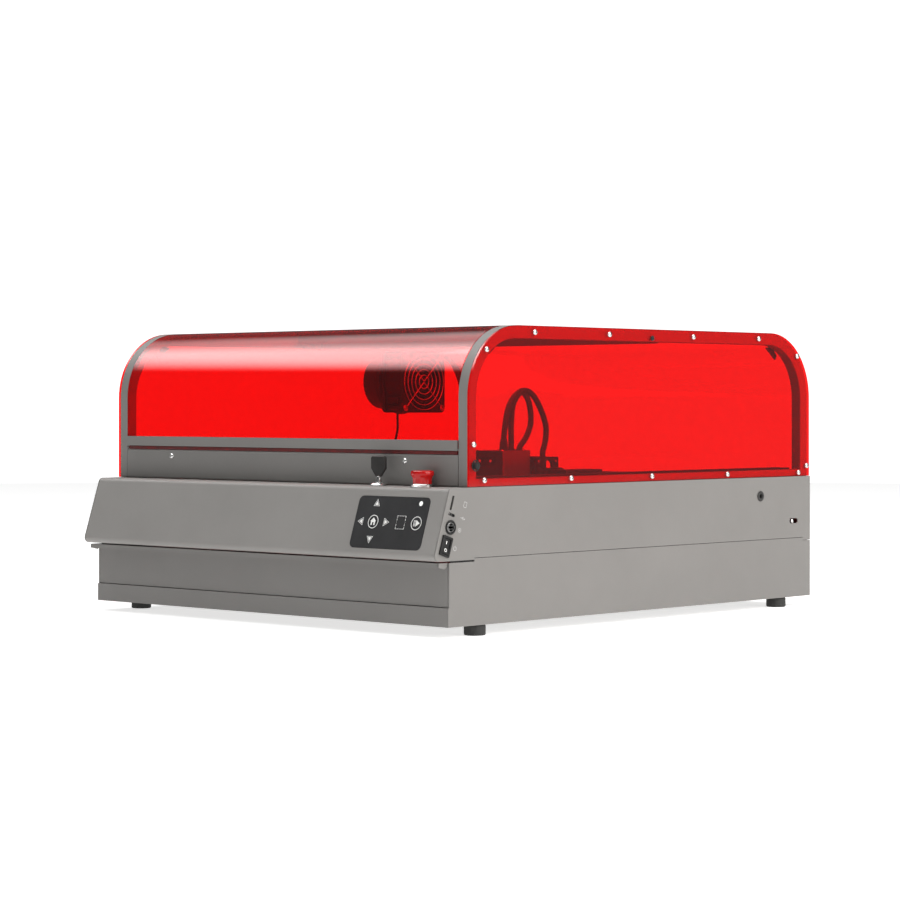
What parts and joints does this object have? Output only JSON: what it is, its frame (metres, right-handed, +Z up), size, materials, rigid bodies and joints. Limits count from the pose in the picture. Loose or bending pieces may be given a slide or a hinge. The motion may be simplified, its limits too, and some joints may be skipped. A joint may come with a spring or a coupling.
{
  "type": "laser engraver",
  "caption": "Enclosed desktop laser engraver with a see-through hinged cover, slanted control panel, pull-out bed drawer, moving gantry head and side exhaust fan.",
  "frame": {"origin": "centre of the whole machine's outline on the surface it stands on", "axes": "+Z up, front of the machine faces -Y, +X to the right seen from the front"},
  "size_m": [0.6, 0.6512, 0.323],
  "materials": {
    "grey_paint": "satin powder coat",
    "red_acrylic": "clear polished red acrylic",
    "keypad_membrane": "fine matt",
    "black_plastic": "moulded satin",
    "black_rubber": "matt",
    "bright_metal": "polished",
    "red_button": "gloss",
    "head_metal": "anodised grey",
    "extrusion": "anodised",
    "circuit_board": "solder mask",
    "print_white": "screen print"
  },
  "bodies": {
    "chassis": {"lower_shell": "grey_paint", "upper_shell": "grey_paint", "control_panel": "grey_paint", "front_sill": "grey_paint", "side_frame_left": "grey_paint", "side_frame_right": "grey_paint", "top_crossbar": "grey_paint", "side_window_left": "red_acrylic", "side_window_right": "red_acrylic", "rear_window": "red_acrylic", "keypad_overlay": "keypad_membrane", "rocker_bezel": "black_plastic", "power_jack": "black_plastic", "card_reader": "black_plastic", "exhaust_fan_housing": "black_plastic", "duct_spigot": "black_plastic", "y_motor": "black_plastic", "foot_1": "black_rubber", "foot_2": "black_rubber", "foot_3": "black_rubber", "foot_4": "black_rubber", "hose_grommet": "black_rubber", "fan_cable": "black_rubber", "y_belt_left": "black_rubber", "y_belt_right": "black_rubber", "key_switch_barrel": "bright_metal", "estop_collar": "bright_metal", "fan_grille": "bright_metal", "y_rail_left": "extrusion", "y_rail_right": "extrusion", "control_board": "circuit_board"},
    "lid": {"lid_window": "red_acrylic", "lid_handle_bar": "grey_paint", "lid_hinge_bar": "grey_paint"},
    "drawer": {"drawer_front": "grey_paint", "drawer_tray": "grey_paint", "honeycomb_bed": "extrusion"},
    "gantry": {"x_beam": "extrusion", "y_carriage_left": "extrusion", "y_carriage_right": "extrusion", "x_motor": "black_plastic", "x_belt": "black_rubber"},
    "head": {"head_carriage": "black_plastic", "laser_module": "head_metal", "head_cables": "black_rubber"},
    "laser_fan_rotor": {"laser_fan": "black_plastic"},
    "exhaust_rotor": {"exhaust_impeller": "black_plastic"},
    "y_shaft": {"y_drive_shaft": "bright_metal"},
    "x_pulley": {"x_drive_pulley": "bright_metal"},
    "key": {"switch_key": "black_plastic"},
    "stop_button": {"estop_button": "red_button"},
    "rocker": {"power_rocker": "black_plastic"},
    "light_button": {"light_switch": "black_plastic"},
    "key_up_cap": {"key_up": "keypad_membrane"},
    "key_left_cap": {"key_left": "keypad_membrane"},
    "key_home_cap": {"key_home": "keypad_membrane"},
    "key_right_cap": {"key_right": "keypad_membrane"},
    "key_down_cap": {"key_down": "keypad_membrane"},
    "key_frame_cap": {"key_frame": "keypad_membrane"},
    "key_start_cap": {"key_start": "keypad_membrane"}
  },
  "joints": [
    {"name": "lid_hinge", "type": "hinge", "parent": "chassis", "child": "lid", "pos_m": [0.016, 0.02535, 0.313], "axis": [-1, 0, 0], "range_deg": [0, 75]},
    {"name": "drawer_slide", "type": "slide", "parent": "chassis", "child": "drawer", "axis": [0, -1, 0], "range_m": [0, 0.4]},
    {"name": "gantry_slide", "type": "slide", "parent": "chassis", "child": "gantry", "axis": [0, 1, 0], "range_m": [-0.12, 0.25]},
    {"name": "head_slide", "type": "slide", "parent": "gantry", "child": "head", "axis": [1, 0, 0], "range_m": [-0.365, 0]},
    {"name": "y_shaft_spin", "type": "hinge", "parent": "chassis", "child": "y_shaft", "pos_m": [0.016, 0.29065, 0.1015], "axis": [1, 0, 0], "range_deg": [-2100, 1000]},
    {"name": "x_pulley_spin", "type": "hinge", "parent": "gantry", "child": "x_pulley", "pos_m": [-0.184, -0.06635, 0.16], "axis": [0, 0, 1], "range_deg": [-20, 3000]},
    {"name": "laser_fan_spin", "type": "hinge", "parent": "head", "child": "laser_fan_rotor", "pos_m": [0.1705, -0.11135, 0.15], "axis": [1, 0, 0], "continuous": true},
    {"name": "exhaust_fan_spin", "type": "hinge", "parent": "chassis", "child": "exhaust_rotor", "pos_m": [-0.242, 0.20165, 0.2685], "axis": [1, 0, 0], "continuous": true},
    {"name": "key_turn", "type": "hinge", "parent": "chassis", "child": "key", "pos_m": [0.18, -0.28935, 0.16], "axis": [0, 0, 1], "range_deg": [-90, 0]},
    {"name": "estop_press", "type": "slide", "parent": "chassis", "child": "stop_button", "axis": [0, 0, -1], "range_m": [0, 0.004]},
    {"name": "rocker_tip", "type": "hinge", "parent": "chassis", "child": "rocker", "pos_m": [0.2976, -0.31035, 0.095], "axis": [0, 0.9501, -0.312], "range_deg": [0, 12]},
    {"name": "light_switch_press", "type": "slide", "parent": "chassis", "child": "light_button", "axis": [-1, 0, 0], "range_m": [0, 0.0012], "stiffness_N_per_m": 500},
    {"name": "key_up_press", "type": "slide", "parent": "chassis", "child": "key_up_cap", "axis": [0, 0.9501, -0.312], "range_m": [0, 0.0005], "stiffness_N_per_m": 600},
    {"name": "key_left_press", "type": "slide", "parent": "chassis", "child": "key_left_cap", "axis": [0, 0.9501, -0.312], "range_m": [0, 0.0005], "stiffness_N_per_m": 600},
    {"name": "key_home_press", "type": "slide", "parent": "chassis", "child": "key_home_cap", "axis": [0, 0.9501, -0.312], "range_m": [0, 0.0005], "stiffness_N_per_m": 600},
    {"name": "key_right_press", "type": "slide", "parent": "chassis", "child": "key_right_cap", "axis": [0, 0.9501, -0.312], "range_m": [0, 0.0005], "stiffness_N_per_m": 600},
    {"name": "key_down_press", "type": "slide", "parent": "chassis", "child": "key_down_cap", "axis": [0, 0.9501, -0.312], "range_m": [0, 0.0005], "stiffness_N_per_m": 600},
    {"name": "key_frame_press", "type": "slide", "parent": "chassis", "child": "key_frame_cap", "axis": [0, 0.9501, -0.312], "range_m": [0, 0.0005], "stiffness_N_per_m": 600},
    {"name": "key_start_press", "type": "slide", "parent": "chassis", "child": "key_start_cap", "axis": [0, 0.9501, -0.312], "range_m": [0, 0.0005], "stiffness_N_per_m": 600}
  ],
  "couplings": [
    {"joint": "y_shaft_spin", "follows": "gantry_slide", "rad_per_m": -142.86},
    {"joint": "x_pulley_spin", "follows": "head_slide", "rad_per_m": -142.86}
  ]
}
